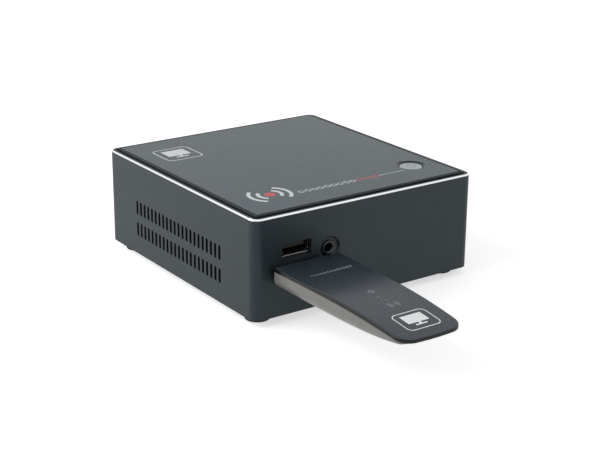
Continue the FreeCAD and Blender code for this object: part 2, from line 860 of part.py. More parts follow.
def make_memory_module():
    half = memory_length / 2 - memory_clearance
    top = memory_z + memory_thickness
    module = box(memory_x0, memory_x1, memory_y - half, memory_y + half, memory_z, top)
    x0 = memory_x0 + memory_arm_inset
    chips = []
    for i in (-1.5, -0.5, 0.5, 1.5):
        y0 = memory_y + i * memory_chip_pitch - memory_chip_width / 2
        chips.append(box(x0, x0 + memory_chip_length, y0, y0 + memory_chip_width,
                         top, top + memory_chip_height))
    return module.fuse(chips).removeSplitter()


card_socket_x1 = card_x0 + card_socket_overlap
card_socket_x0 = card_socket_x1 - card_socket_width


def make_card_socket():
    half = card_width / 2 + card_socket_side
    top = board_z + card_socket_height
    body = box(card_socket_x0, card_socket_x1, card_y - half, card_y + half, board_z, top)
    return body.cut(box(card_x0, card_socket_x1 + 1, card_y - half - 1, card_y + half + 1, card_z, top + 1))


def make_wireless_card():
    half = card_width / 2
    card = box(card_x0, card_x1, card_y - half, card_y + half, card_z, card_z + card_thickness)
    top = card_z + card_thickness
    can = box(card_x0 + card_socket_width, card_post_x - card_post_radius - card_can_margin,
              card_y - half + card_can_margin, card_y + half - card_can_margin, top, top + card_can_height)
    card = card.fuse(can).removeSplitter()
    return card.cut(rod(small_screw_radius + thread_clearance, (card_post_x, card_y, 0), case_height))


save("memory_socket", make_memory_socket())
save("memory_module", make_memory_module())
save("card_socket", make_card_socket())
save("wireless_card", make_wireless_card())
save("card_screw", screw((card_post_x, card_y, card_z + card_thickness), (0, 0, -1),
                         small_screw_radius - thread_clearance, card_thickness + card_rise,
                         small_screw_head_radius, small_screw_head_height))

# Two strip antennas are glued under the plastic lid frame, and thin leads join them to the card.
antenna_z = deck_floor_z - antenna_thickness
antenna_front_y = front_y + deck_opening_inset + antenna_front_inset + antenna_width / 2
antenna_back_y = back_y - deck_opening_inset - antenna_back_inset - antenna_width / 2


def make_antenna(y):
    half = antenna_length / 2
    return box(-half, half, y - antenna_width / 2, y + antenna_width / 2, antenna_z, deck_floor_z)


def make_antenna_leads():
    """Two thin leads from the card: one to the front antenna, one over the memory to the back one."""
    low = card_z + card_thickness
    high = low + lead_rise
    end_x = antenna_length / 2 - lead_antenna_inset
    drop_z = antenna_z - lead_antenna_drop
    front_x = (card_x0 + card_post_x) / 2
    front_edge = card_y - card_width / 2 + lead_card_inset
    front = tube([(front_x, front_edge, low), (front_x, front_edge, high),
                  (end_x, antenna_front_y, drop_z), (end_x, antenna_front_y, antenna_z)], lead_radius)
    back_x = card_socket_x1 + 2 * lead_card_inset
    back_edge = card_y + card_width / 2 - lead_card_inset
    bend = lead_rise + lead_antenna_drop
    back = tube([(back_x, back_edge, low), (back_x, back_edge, high),
                 (end_x, back_edge + bend, drop_z), (end_x, antenna_back_y - bend, drop_z),
                 (end_x, antenna_back_y, antenna_z - lead_rise), (end_x, antenna_back_y, antenna_z)],
                lead_radius)
    return front, back


save("front_antenna", make_antenna(antenna_front_y))
save("back_antenna", make_antenna(antenna_back_y))
save("antenna_leads", *make_antenna_leads())

# The drive lies in a sheet tray on the base plate and plugs into a socket under the mainboard.
drive_x0 = -standoff_x + standoff_radius + drive_side_gap + tray_thickness
drive_x1 = drive_x0 + drive_width
drive_y0 = inner_front_y + drive_front_room
drive_y1 = drive_y0 + drive_length
drive_z = base_thickness + drive_rise
drive_middle_x = (drive_x0 + drive_x1) / 2
drive_screw_y = standoff_y - standoff_radius - small_screw_head_radius - drive_screw_gap
drive_screw_places = [(side, sy * drive_screw_y) for side in (-1, 1) for sy in (-1, 1)]


def drive_screw_seat(side, y):
    """Where a drive screw's head lies on the tray's outer face: side is -1 for the left one."""
    x = drive_x0 - tray_thickness if side < 0 else drive_x1 + tray_thickness
    return x, y, drive_z + drive_screw_rise


def drive_screw_holes():
    length = drive_screw_length + drive_screw_room
    return [rod(small_screw_radius + thread_clearance, drive_screw_seat(side, y), length, (-side, 0, 0))
            for side, y in drive_screw_places]


def make_drive_tray():
    reach = drive_screw_y + tray_screw_margin
    tray = box(drive_x0 - tray_thickness, drive_x1 + tray_thickness, -reach, reach,
               base_thickness, drive_z + tray_wall_rise)
    tray = tray.cut(box(drive_x0, drive_x1, -reach - 1, reach + 1, drive_z, board_z))
    m = tray_window_margin
    tray = tray.cut(box(drive_x0 + m, drive_x1 - m, m - reach, reach - m, 0, drive_z + 1))
    return tray.cut(drive_screw_holes())


def make_drive():
    body = box(drive_x0, drive_x1, drive_y0, drive_y1, drive_z, drive_z + drive_height)
    body = body.makeFillet(drive_corner_radius, upright_edges(body))
    half = drive_mouth_width / 2
    low = drive_z + drive_mouth_rise
    mouth = box(drive_middle_x - half, drive_middle_x + half, drive_y1 - drive_mouth_depth, drive_y1 + 1,
                low, low + drive_mouth_height)
    return body.cut([mouth] + drive_screw_holes())


def make_drive_socket():
    half = drive_socket_width / 2
    x0, x1 = drive_middle_x - half, drive_middle_x + half
    back = drive_y1 + drive_socket_depth
    low = drive_z + drive_mouth_rise + (drive_mouth_height - drive_socket_tongue) / 2
    tongue = box(x0, x1, drive_y1 - drive_socket_reach, back, low, low + drive_socket_tongue)
    post = box(x0, x1, drive_y1 + drive_socket_gap, back, low, board_under_z)
    return tongue.fuse(post).removeSplitter()


save("drive_tray", make_drive_tray())
save("drive", make_drive())
save("drive_socket", make_drive_socket())
save("drive_screws", *[
    screw(drive_screw_seat(side, y), (-side, 0, 0), small_screw_radius - thread_clearance,
          drive_screw_length, small_screw_head_radius, small_screw_head_height)
    for side, y in drive_screw_places])

# The clock's cell stands upright in a half-height holder, between the headphone jack and the card.
cell_x = (jack_x + jack_body_width / 2 + card_socket_x0) / 2
cell_y = inner_front_y + board_edge_gap + cell_front_gap + holder_wall + cell_radius
cell_z = board_z + holder_wall + cell_radius


def cell_disc(extra):
    half = cell_thickness / 2 + extra
    return rod(cell_radius + extra, (cell_x - half, cell_y, cell_z), 2 * half, (1, 0, 0))


def make_cell_holder():
    half_x = cell_thickness / 2 + holder_wall
    half_y = cell_radius + holder_wall
    cup = box(cell_x - half_x, cell_x + half_x, cell_y - half_y, cell_y + half_y,
              board_z, board_z + holder_height)
    return cup.cut(cell_disc(cell_clearance))


save("cell_holder", make_cell_holder())
save("clock_cell", cell_disc(0))


# A stacked pair of square ports: a folded metal shell, and a plastic core with two tongues.
# out is -1 for ports that open to the front and 1 for ports that open to the back.
def make_usb_shell(x, mouth_y, out):
    back = mouth_y - out * usb_shell_depth
    half = usb_opening_width / 2 + usb_shell_wall
    low, high = lower_port_z, upper_port_z
    top = high + usb_opening_height / 2 + usb_shell_wall
    block = box(x - half, x + half, *sorted((mouth_y, back)), board_z, top)
    inner = usb_opening_width / 2
    inside_back = back + out * usb_core_depth
    cuts = []
    for z in (low, high):
        cuts.append(box(x - inner, x + inner, *sorted((mouth_y + out, back - out)),
                        z - usb_opening_height / 2, z + usb_opening_height / 2))
    reach = usb_opening_height / 2 + usb_shell_wall
    between = (low + reach, high - reach)
    cuts.append(box(x - inner, x + inner, *sorted((mouth_y + out, inside_back)), *between))
    return block.cut(cuts)


def make_usb_core(x, mouth_y, out):
    back = mouth_y - out * usb_shell_depth
    inside_back = back + out * usb_core_depth
    pieces = []
    for z in (lower_port_z, upper_port_z):
        plug = box(x - usb_opening_width / 2, x + usb_opening_width / 2, *sorted((back, inside_back)),
                   z - usb_opening_height / 2, z + usb_opening_height / 2)
        tip = mouth_y - out * usb_tongue_setback
        mid = z + usb_tongue_offset
        tongue = box(x - usb_tongue_width / 2, x + usb_tongue_width / 2, *sorted((tip, inside_back)),
                     mid - usb_tongue_thickness / 2, mid + usb_tongue_thickness / 2)
        pieces.append(plug.fuse(tongue).removeSplitter())
    return pieces


def make_audio_jack():
    half = jack_body_width / 2
    front = port_face_front
    body = box(jack_x - half, jack_x + half, front, front + jack_body_depth,
               board_z, jack_z + jack_body_over_axis)
    start = front_y + jack_dish_depth / 2
    nozzle = rod(jack_nozzle_radius, (jack_x, start, jack_z), wall, (0, 1, 0))
    jack = body.fuse(nozzle).removeSplitter()
    bore = rod(jack_bore_radius, (jack_x, start, jack_z), jack_bore_length, (0, 1, 0))
    lead_in = Part.makeCone(jack_bore_radius + jack_leadin, jack_bore_radius, jack_leadin,
                            V(jack_x, start, jack_z), V(0, 1, 0))
    return jack.cut([bore, lead_in])


save("front_usb_shell", make_usb_shell(usb_port_x, port_face_front, -1))
save("front_usb_cores", *make_usb_core(usb_port_x, port_face_front, -1))
save("audio_jack", make_audio_jack())

# The rear ports stand in a row: power inlet, small video port, large video port, network, pair.
usb_row_width = usb_opening_width + 2 * usb_shell_wall
row_widths = (usb_row_width, lan_width, hdmi_width, mini_width, power_inlet_width)
port_gap = (2 * (window_half_width - port_end_gap) - sum(row_widths)) / (len(row_widths) - 1)
row_start = port_end_gap - window_half_width
row_places = []
for port_width in row_widths:
    row_places.append(row_start + port_width / 2)
    row_start += port_width + port_gap
rear_usb_x, lan_x, hdmi_x, mini_x, power_x = row_places
power_z = board_z + power_inlet_height / 2
usb_row_top = upper_port_z + usb_opening_height / 2 + usb_shell_wall
grille_low_z = usb_row_top + grille_low_gap
grille_high_z = window_top_z - grille_top_gap


def make_rear_panel():
    panel = box(-panel_half_width, panel_half_width, panel_y, inner_y,
                base_thickness + panel_base_gap, window_top_z + panel_lip)
    c = port_hole_clearance
    y0, y1 = panel_y - 1, inner_y + 1
    tops = (usb_row_top, board_z + lan_height, board_z + hdmi_height, board_z + mini_height,
            board_z + power_inlet_height)
    cuts = []
    for x, w, top in zip(row_places, row_widths, tops):
        cuts.append(box(x - w / 2 - c, x + w / 2 + c, y0, y1, board_z - c, top + c))
    for i in range(grille_slot_count):
        x = (i - (grille_slot_count - 1) / 2) * grille_slot_pitch - grille_offset
        cuts.append(box(x - grille_slot_width / 2, x + grille_slot_width / 2, y0, y1,
                        grille_low_z, grille_high_z))
    lock_x1 = window_half_width - lock_slot_side_gap
    lock_low_z = (grille_low_z + grille_high_z - lock_slot_height) / 2
    cuts.append(box(lock_x1 - lock_slot_width, lock_x1, y0, y1, lock_low_z, lock_low_z + lock_slot_height))
    for x, z in rear_screw_places():
        cuts.append(rod(small_screw_radius, (x, y0, z), panel_thickness + 2, (0, 1, 0)))
    return panel.cut(cuts)


def port_shell(x, width, height, depth):
    """A folded metal port shell, open at its mouth."""
    x0, x1 = x - width / 2, x + width / 2
    back = port_face_back - depth
    t = port_shell_wall
    block = box(x0, x1, back, port_face_back, board_z, board_z + height)
    return block.cut(box(x0 + t, x1 - t, back + t, port_face_back + 1, board_z + t, board_z + height - t))


def port_core(x, width, height, depth, tongue_width):
    """The plastic back block of a port, with its contact tongue."""
    t = port_shell_wall
    back = port_face_back - depth + t
    block = box(x - width / 2 + t, x + width / 2 - t, back, back + port_block_depth,
                board_z + t, board_z + height - t)
    low = board_z + (height - port_tongue_thickness) / 2
    tongue = box(x - tongue_width / 2, x + tongue_width / 2, back, port_face_back - port_tongue_setback,
                 low, low + port_tongue_thickness)
    return block.fuse(tongue).removeSplitter()


def make_lan_shell():
    return port_shell(lan_x, lan_width, lan_height, lan_depth)


def make_lan_core():
    t = port_shell_wall
    low = board_z + (lan_height - lan_mouth_height) / 2
    block = box(lan_x - lan_width / 2 + t, lan_x + lan_width / 2 - t, port_face_back - lan_depth + t,
                port_face_back - lan_mouth_setback, board_z + t, board_z + lan_height - t)
    mouth = box(lan_x - lan_mouth_width / 2, lan_x + lan_mouth_width / 2,
                port_face_back - lan_mouth_depth, port_face_back + 1, low, low + lan_mouth_height)
    latch = box(lan_x - lan_latch_width / 2, lan_x + lan_latch_width / 2,
                port_face_back - lan_mouth_depth, port_face_back + 1, low - lan_latch_height, low + 1.0)
    return block.cut([mouth, latch])


def make_power_inlet():
    half = power_inlet_width / 2
    body = box(power_x - half, power_x + half, port_face_back - power_inlet_depth, port_face_back,
               board_z, board_z + power_inlet_height)
    bore_depth = power_inlet_depth - power_inlet_back
    return body.cut(rod(power_inlet_bore, (power_x, port_face_back, power_z), bore_depth, (0, -1, 0)))


save("rear_panel", make_rear_panel())
save("rear_panel_screws", *[
    screw((x, back_y - small_screw_head_height, z), (0, -1, 0), small_screw_radius - thread_clearance,
          wall + panel_thickness + screw_end_room, small_screw_head_radius, small_screw_head_height)
    for x, z in rear_screw_places()])
save("rear_usb_shell", make_usb_shell(rear_usb_x, port_face_back, 1))
save("rear_usb_cores", *make_usb_core(rear_usb_x, port_face_back, 1))
save("network_port_shell", make_lan_shell())
save("network_port_core", make_lan_core())
save("video_port_shells", port_shell(hdmi_x, hdmi_width, hdmi_height, hdmi_depth),
     port_shell(mini_x, mini_width, mini_height, mini_depth))
save("video_port_cores", port_core(hdmi_x, hdmi_width, hdmi_height, hdmi_depth, hdmi_tongue_width),
     port_core(mini_x, mini_width, mini_height, mini_depth, mini_tongue_width))
save("power_inlet", make_power_inlet())
pin_back_y = port_face_back - power_inlet_depth + power_inlet_back
save("power_inlet_pin", rod(power_inlet_pin, (power_x, pin_back_y, power_z),
                            power_inlet_depth - power_inlet_back - power_inlet_pin_setback, (0, 1, 0)))

# The wireless adapter: a flat cover that bends down towards its tip, over a boat-shaped hull.
# Distances along it run from its root, which lies just in front of the case, towards its tip,
# and it narrows evenly on the way.
tip_y = root_y - adapter_length
seam_z = adapter_top - adapter_cover_edge


def adapter_sides(along, inset):
    """Where the adapter's left and right sides are, or a line that far inside them."""
    half = (adapter_width + (adapter_tip_width - adapter_width) * along / adapter_length) / 2 - inset
    return adapter_x - half, adapter_x + half


def bent_height(along, flat_z, bend_start, radius):
    """The height of a line that runs level and then bends down in an arc."""
    past = max(along - bend_start, 0.0)
    return flat_z - (radius - math.sqrt(radius * radius - past * past))


def cover_top(along):
    return bent_height(along, adapter_top, adapter_bend_start, adapter_bend_radius)


def below_bent_line(flat_z, bend_start, radius, low_z, end_gap=0.0):
    """Everything under a level line that bends down towards the adapter's tip."""
    middle = (bend_start + adapter_length) / 2
    far = adapter_length + 1.0
    points = [V(0, root_y + 1 - end_gap, flat_z), V(0, root_y - bend_start, flat_z)]
    arc = Part.Arc(points[1], V(0, root_y - middle, bent_height(middle, flat_z, bend_start, radius)),
                   V(0, root_y - far, bent_height(far, flat_z, bend_start, radius)))
    end = arc.EndPoint
    edges = [Part.LineSegment(points[0], points[1]).toShape(), arc.toShape(),
             Part.LineSegment(end, V(0, end.y, low_z)).toShape(),
             Part.LineSegment(V(0, end.y, low_z), V(0, points[0].y, low_z)).toShape(),
             Part.LineSegment(V(0, points[0].y, low_z), points[0]).toShape()]
    solid = Part.Face(Part.Wire(edges)).extrude(V(adapter_width * 2, 0, 0))
    solid.translate(V(adapter_x - adapter_width, 0, 0))
    return solid


def plan_prism(inset):
    """The adapter's outline from above: round corners and a slightly bowed tip."""
    y0, y1 = tip_y + inset, root_y - inset
    shoulder = y0 + adapter_tip_bulge
    root_x0, root_x1 = adapter_sides(root_y - y1, inset)
    tip_x0, tip_x1 = adapter_sides(root_y - shoulder, inset)
    edges = [Part.LineSegment(V(root_x1, y1, 0), V(root_x0, y1, 0)).toShape(),
             Part.LineSegment(V(root_x0, y1, 0), V(tip_x0, shoulder, 0)).toShape(),
             Part.Arc(V(tip_x0, shoulder, 0), V(adapter_x, y0, 0), V(tip_x1, shoulder, 0)).toShape(),
             Part.LineSegment(V(tip_x1, shoulder, 0), V(root_x1, y1, 0)).toShape()]
    prism = Part.Face(Part.Wire(edges)).extrude(V(0, 0, adapter_top + 5))
    uprights = upright_edges(prism)
    tip_edges = [e for e in uprights if e.Vertexes[0].Point.y < (root_y + tip_y) / 2]
    prism = prism.makeFillet(adapter_tip_radius - inset, tip_edges)
    root_edges = [e for e in upright_edges(prism) if e.Vertexes[0].Point.y > y1 - 0.01]
    return prism.makeFillet(max(adapter_root_radius - inset, 0.5), root_edges)


def belly_depth(along):
    """How far the hull's bottom lies under the level seam: a smooth line from root to tip."""
    drop = seam_z - bent_height(adapter_length, seam_z, adapter_seam_start, adapter_seam_radius)
    low = [(0.0, adapter_root_depth), (adapter_belly_place, adapter_belly_depth),
           (adapter_bow_place, adapter_bow_depth), (adapter_length, adapter_tip_depth + drop)]
    total = 0.0
    for i, (at, value) in enumerate(low):
        term = value
        for j, (other, _) in enumerate(low):
            if j != i:
                term *= (along - other) / (at - other)
        total += term
    return total


def hull_section(along, inset):
    """One cross-section of the hull: upright sides and large round bottom corners."""
    x0, x1 = adapter_sides(along, inset)
    y = root_y - along
    top = adapter_top + 2.0
    bottom = seam_z - belly_depth(along) + inset
    depth = bent_height(along, seam_z, adapter_seam_start, adapter_seam_radius) - bottom
    r = adapter_hull_round * math.tanh(max(adapter_hull_round_share * depth, 0.3) / adapter_hull_round)
    k = r * (1 - math.sqrt(0.5))
    edges = [Part.LineSegment(V(x0, y, top), V(x0, y, bottom + r)).toShape(),
             Part.Arc(V(x0, y, bottom + r), V(x0 + k, y, bottom + k), V(x0 + r, y, bottom)).toShape(),
             Part.LineSegment(V(x0 + r, y, bottom), V(x1 - r, y, bottom)).toShape(),
             Part.Arc(V(x1 - r, y, bottom), V(x1 - k, y, bottom + k), V(x1, y, bottom + r)).toShape(),
             Part.LineSegment(V(x1, y, bottom + r), V(x1, y, top)).toShape(),
             Part.LineSegment(V(x1, y, top), V(x0, y, top)).toShape()]
    return Part.Wire(edges)


def under_stern(inset):
    """What the round edge under the hull's root end takes away."""
    r = adapter_stern_round
    low = seam_z - adapter_root_depth
    x0, x1 = adapter_x - adapter_width, adapter_x + adapter_width
    corner = box(x0, x1, root_y - r, root_y + 1, low - 1, low + r)
    return corner.cut(rod(r - inset, (x0, root_y - r, low + r), x1 - x0, (1, 0, 0)))


def hull_form(inset):
    """The hull's outside, or with an inset its inside, cut off at the seam."""
    stations = [0.0, 0.2, 0.4, 0.6, 0.8, 1.0]
    sections = [hull_section(s * adapter_length, inset) for s in stations]
    form = Part.makeLoft(sections, True, False)
    seam = below_bent_line(seam_z, adapter_seam_start, adapter_seam_radius, 0)
    return form.common(seam).common(plan_prism(inset)).cut(under_stern(inset))


plug_z = lower_port_z
plug_tip_y = root_y + plug_reach
plug_back_y = root_y - plug_seat
adapter_board_z = plug_z - plug_height / 2


def plug_block(half_x, half_z, y0, y1):
    return box(usb_port_x - half_x, usb_port_x + half_x, y0, y1, plug_z - half_z, plug_z + half_z)


def light_guide_rods(radius, top_gap):
    rods = []
    for across, along in light_guide_places:
        top = cover_top(along) - top_gap
        low = adapter_board_z + adapter_board_thickness
        rods.append(rod(radius, (adapter_x + across, root_y - along, low), top - low))
    return rods


def edges_on_cover_top(cover):
    found = []
    for edge in cover.Edges:
        ends = (edge.Vertexes[0].Point, edge.Vertexes[-1].Point)
        if all(abs(p.z - cover_top(root_y - p.y)) < 0.05 for p in ends):
            found.append(edge)
    return found


def make_adapter_cover():
    top = below_bent_line(adapter_top, adapter_bend_start, adapter_bend_radius, 0)
    seam = below_bent_line(seam_z, adapter_seam_start, adapter_seam_radius, -1, -1)
    cover = top.common(plan_prism(0)).cut(seam)
    cover = cover.makeFillet(adapter_cover_round, edges_on_cover_top(cover))
    return cover.cut(light_guide_rods(light_guide_radius + light_guide_clearance, -1.0))


def make_adapter_hull():
    outside = hull_form(0)
    inside = hull_form(adapter_wall)
    hull = outside.cut(inside)
    half = adapter_board_width / 2
    core = hull_form(adapter_wall / 2)
    ribs = []
    for along in adapter_rib_places:
        y = plug_back_y - along
        rib = box(adapter_x - half, adapter_x + half, y, y + adapter_rib_thickness, 0, adapter_board_z)
        ribs.append(rib.common(core))
    hull = hull.fuse(ribs).removeSplitter()
    half = plug_width / 2 + plug_clearance
    mouth = box(usb_port_x - half, usb_port_x + half, plug_back_y, root_y + 1,
                plug_z - plug_height / 2 - plug_clearance, seam_z)
    return hull.cut(mouth)


def make_plug_shell():
    half_x, half_z = plug_width / 2, plug_height / 2
    outer = plug_block(half_x, half_z, plug_back_y, plug_tip_y)
    inner = plug_block(half_x - plug_wall, half_z - plug_wall, plug_back_y - 1, plug_tip_y + 1)
    far = plug_tip_y - plug_window_setback
    half = plug_window_width / 2
    windows = []
    for sx in (-1, 1):
        x = usb_port_x + sx * plug_window_spacing / 2
        windows.append(box(x - half, x + half, far - plug_window_length, far, 0, adapter_top))
    return outer.cut([inner] + windows)


def make_plug_core():
    half_x = plug_width / 2 - plug_wall
    low = plug_z - plug_height / 2 + plug_wall
    core = box(usb_port_x - half_x, usb_port_x + half_x, plug_back_y, plug_tip_y - plug_core_setback,
               low, low + plug_core_thickness)
    back = plug_block(half_x, plug_height / 2 - plug_wall, plug_back_y, root_y)
    return core.fuse(back).removeSplitter()


def make_adapter_board():
    half = adapter_board_width / 2
    return box(adapter_x - half, adapter_x + half, plug_back_y - adapter_board_length, plug_back_y,
               adapter_board_z, adapter_board_z + adapter_board_thickness)


def make_adapter_shield():
    half = adapter_shield_width / 2
    z = adapter_board_z + adapter_board_thickness
    y1 = plug_back_y - adapter_shield_gap
    return box(adapter_x - half, adapter_x + half, y1 - adapter_shield_length, y1,
               z, z + adapter_shield_height)


save("adapter_cover", make_adapter_cover())
save("adapter_hull", make_adapter_hull())
save("adapter_plug_shell", make_plug_shell())
save("adapter_plug_core", make_plug_core())
save("adapter_board", make_adapter_board())
save("adapter_shield", make_adapter_shield())
save("adapter_light_guides", *light_guide_rods(light_guide_radius, 0.05))
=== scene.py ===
"""Dresses a network streaming adapter: a small square case with a wireless adapter in its lower port.
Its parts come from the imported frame. Here they get their finishes, printed marks and contacts."""

import math

import bmesh
import bpy
from mathutils import Matrix, Vector


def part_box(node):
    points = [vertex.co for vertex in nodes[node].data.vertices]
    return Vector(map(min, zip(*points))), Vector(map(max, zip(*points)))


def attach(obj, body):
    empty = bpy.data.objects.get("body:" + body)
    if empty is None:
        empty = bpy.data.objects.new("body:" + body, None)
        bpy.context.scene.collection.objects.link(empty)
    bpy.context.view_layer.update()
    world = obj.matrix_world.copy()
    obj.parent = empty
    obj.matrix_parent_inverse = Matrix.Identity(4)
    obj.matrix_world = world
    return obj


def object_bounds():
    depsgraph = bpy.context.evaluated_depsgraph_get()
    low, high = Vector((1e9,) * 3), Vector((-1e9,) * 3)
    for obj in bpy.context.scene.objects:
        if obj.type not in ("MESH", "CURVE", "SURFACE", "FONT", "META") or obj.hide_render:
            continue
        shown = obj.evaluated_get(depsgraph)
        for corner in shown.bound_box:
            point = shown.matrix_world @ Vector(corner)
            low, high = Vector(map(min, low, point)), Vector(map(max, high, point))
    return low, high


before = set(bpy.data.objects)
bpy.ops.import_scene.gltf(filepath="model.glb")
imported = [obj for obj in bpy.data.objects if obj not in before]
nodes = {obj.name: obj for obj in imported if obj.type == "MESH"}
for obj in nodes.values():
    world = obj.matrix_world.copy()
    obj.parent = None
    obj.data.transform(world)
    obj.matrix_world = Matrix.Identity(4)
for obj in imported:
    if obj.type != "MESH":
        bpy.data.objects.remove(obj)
cad_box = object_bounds()

# Shell
# A thin-walled aluminium housing with a satin black coat, and two rows of slots in its left and
# right walls. Its top edge is cut at a slant after coating, which leaves a bright line of bare
# metal all round. The walls of the port openings are painted near black, as painted shade for
# the dark inside of the openings.
MM = 0.001
cloud_size = 9.0
gloss_patch = 3
gloss_swing = 0.05


class Finish:
    """A node material. Its patterns are laid out in millimetres on the piece that wears it."""

    def __init__(self, name, colour, roughness, **more):
        self.material = bpy.data.materials.new(name)
        self.material.use_nodes = True
        self.tree = self.material.node_tree
        self.shader = self.tree.nodes["Principled BSDF"]
        self.shader.inputs["Base Color"].default_value = (*colour, 1)
        self.shader.inputs["Roughness"].default_value = roughness
        for socket, value in more.items():
            self.shader.inputs[socket.replace("_", " ")].default_value = value
        coords = self.node("ShaderNodeTexCoord")
        scaled = self.node("ShaderNodeVectorMath", coords.outputs["Object"], operation="SCALE")
        scaled.inputs["Scale"].default_value = 1 / MM
        self.place = scaled.outputs[0]
        axes = self.node("ShaderNodeSeparateXYZ", self.place)
        self.x, self.y, self.z = axes.outputs

    def node(self, kind, *values, **options):
        """Adds a node, sets its options and feeds its first inputs with values or other nodes' outputs."""
        node = self.tree.nodes.new(kind)
        for option, value in options.items():
            setattr(node, option, value)
        for socket, value in zip(node.inputs, values):
            self.feed(socket, value)
        return node

    def feed(self, socket, value):
        if isinstance(value, bpy.types.NodeSocket):
            self.tree.links.new(value, socket)
        elif isinstance(value, tuple) and socket.type == "RGBA":
            socket.default_value = (*value, 1)
        else:
            socket.default_value = value

    def calc(self, operation, *values):
        return self.node("ShaderNodeMath", *values, operation=operation).outputs[0]

    def noise(self, grain, detail=2.0, stretch=(1, 1, 1)):
        """A soft random pattern, mostly 0.3 to 0.7. Its spots are a grain wide, times the stretch."""
        step = tuple(1 / (grain * s) for s in stretch)
        stretched = self.node("ShaderNodeVectorMath", self.place, step, operation="MULTIPLY")
        noise = self.node("ShaderNodeTexNoise", stretched.outputs[0])
        noise.inputs["Scale"].default_value = 1.0
        noise.inputs["Detail"].default_value = detail
        return noise.outputs[0]

    def spread(self, pattern, low, high, start=0.3, end=0.7):
        """Stretches the part of a pattern from start to end so that it runs from low to high."""
        return self.node("ShaderNodeMapRange", pattern, start, end, low, high).outputs[0]

    def facing_up(self):
        """How far the surface faces up: 1 where it is level, and 0 where it is upright."""
        normal = self.node("ShaderNodeNewGeometry").outputs["True Normal"]
        return self.node("ShaderNodeSeparateXYZ", normal).outputs[2]

    def between(self, pattern, first, second):
        """Colours from first to second, as the pattern goes from 0 to 1."""
        mix = self.node("ShaderNodeMix", data_type="RGBA")
        self.feed(mix.inputs[0], pattern)
        self.feed(mix.inputs[6], first)
        self.feed(mix.inputs[7], second)
        return mix.outputs[2]

    def paint(self, colour=None, roughness=None, metallic=None):
        for name, value in (("Base Color", colour), ("Roughness", roughness), ("Metallic", metallic)):
            if value is not None:
                self.feed(self.shader.inputs[name], value)

    def relief(self, pattern, depth):
        """Raises the surface by a pattern, with the depth in millimetres."""
        bump = self.node("ShaderNodeBump")
        bump.inputs["Strength"].default_value = 1.0
        bump.inputs["Distance"].default_value = depth * MM
        self.feed(bump.inputs["Height"], pattern)
        if self.shader.inputs["Normal"].is_linked:
            self.feed(bump.inputs["Normal"], self.shader.inputs["Normal"].links[0].from_socket)
        self.feed(self.shader.inputs["Normal"], bump.outputs[0])


def dress(finish, *names):
    """Gives whole pieces of the frame a finish."""
    for name in names:
        for slot in nodes[name].material_slots:
            slot.material = finish.material


def satin(name, colour, clouds, roughness, grain, depth, **more):
    """A coat or moulded surface with faint clouds of a second colour, fine grain and uneven gloss."""
    finish = Finish(name, colour, roughness, **more)
    finish.tone = finish.between(finish.spread(finish.noise(cloud_size), 0, 1), colour, clouds)
    patches = finish.noise(grain * gloss_patch)
    finish.paint(colour=finish.tone,
                 roughness=finish.spread(patches, roughness - gloss_swing, roughness + gloss_swing))
    finish.relief(finish.noise(grain), depth)
    return finish


case_low, case_high = (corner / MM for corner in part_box("shell"))
case_roughness = 0.5
roughness_step = 0.3
bright_edge_height = 0.6
bright_edge_slack = 0.05
bright_edge_tilt = math.sqrt(0.5)
tilt_slack = 0.15
bare_metal = (0.86, 0.87, 0.88)
# Painted shade colour, used for the walls of the port openings and the adapter cover's sides.
painted_shade_black = (0.001, 0.0012, 0.0014)
ports_middle_x = -35.9
ports_middle_z = 22.7
ports_half_width = 7.2
ports_half_height = 7.6
port_wall_start = 0.1
port_wall_depth = 2.0

case_coat = satin("case_coat", colour=(0.002, 0.006, 0.008), clouds=(0.004, 0.009, 0.012),
                  roughness=case_roughness, grain=0.3, depth=0.006, IOR=1.5,
                  Specular_Tint=(0.80, 0.93, 1.0, 1.0))
slanted = case_coat.calc("COMPARE", case_coat.facing_up(), bright_edge_tilt, tilt_slack)
edge_start = case_high.z - bright_edge_height - bright_edge_slack
cut_edge = case_coat.calc("MULTIPLY", slanted, case_coat.calc("GREATER_THAN", case_coat.z, edge_start))
# Painted shade: the walls just inside the front port openings are painted near black.
across_ports = case_coat.calc("COMPARE", case_coat.x, ports_middle_x, ports_half_width)
level_with_ports = case_coat.calc("COMPARE", case_coat.z, ports_middle_z, ports_half_height)
wall_middle = case_low.y + port_wall_start + port_wall_depth / 2
behind_face = case_coat.calc("COMPARE", case_coat.y, wall_middle, port_wall_depth / 2)
port_field = case_coat.calc("MULTIPLY", across_ports, level_with_ports)
port_wall_shade = case_coat.calc("MULTIPLY", behind_face, port_field)
walls = case_coat.between(port_wall_shade, case_coat.tone, painted_shade_black)
edge_or_port = case_coat.calc("SUBTRACT", cut_edge, port_wall_shade)
case_coat.paint(colour=case_coat.between(cut_edge, walls, bare_metal),
                roughness=case_coat.spread(edge_or_port, case_roughness + roughness_step,
                                           case_roughness - roughness_step, start=-1, end=1),
                metallic=cut_edge)
dress(case_coat, "shell")

# Lid frame
# A dark moulded frame that lies in the shell's recess and holds the lid plate.
# Its rim shows as a narrow step between the bright edge and the plate.
frame_plastic = satin("frame_plastic", colour=(0.003, 0.005, 0.006), clouds=(0.005, 0.007, 0.009),
                      roughness=0.42, grain=0.2, depth=0.006, IOR=1.2)
dress(frame_plastic, "lid_frame")


# Lid plate
# A flat satin black plate, glued into the frame. Its marks are printed in pale grey and red:
# a radio mark, a row of rings with a line that points to the power button, and a screen in a frame.
def bar(finish, centre, size):
    """A rectangle seen from above."""
    across = finish.calc("COMPARE", finish.x, centre[0], size[0] / 2)
    along = finish.calc("COMPARE", finish.y, centre[1], size[1] / 2)
    return finish.calc("MULTIPLY", across, along)


def offset(finish, centre):
    """The way from a centre, seen from above."""
    flat = finish.node("ShaderNodeCombineXYZ", finish.x, finish.y).outputs[0]
    return finish.node("ShaderNodeVectorMath", flat, (*centre, 0), operation="SUBTRACT").outputs[0]


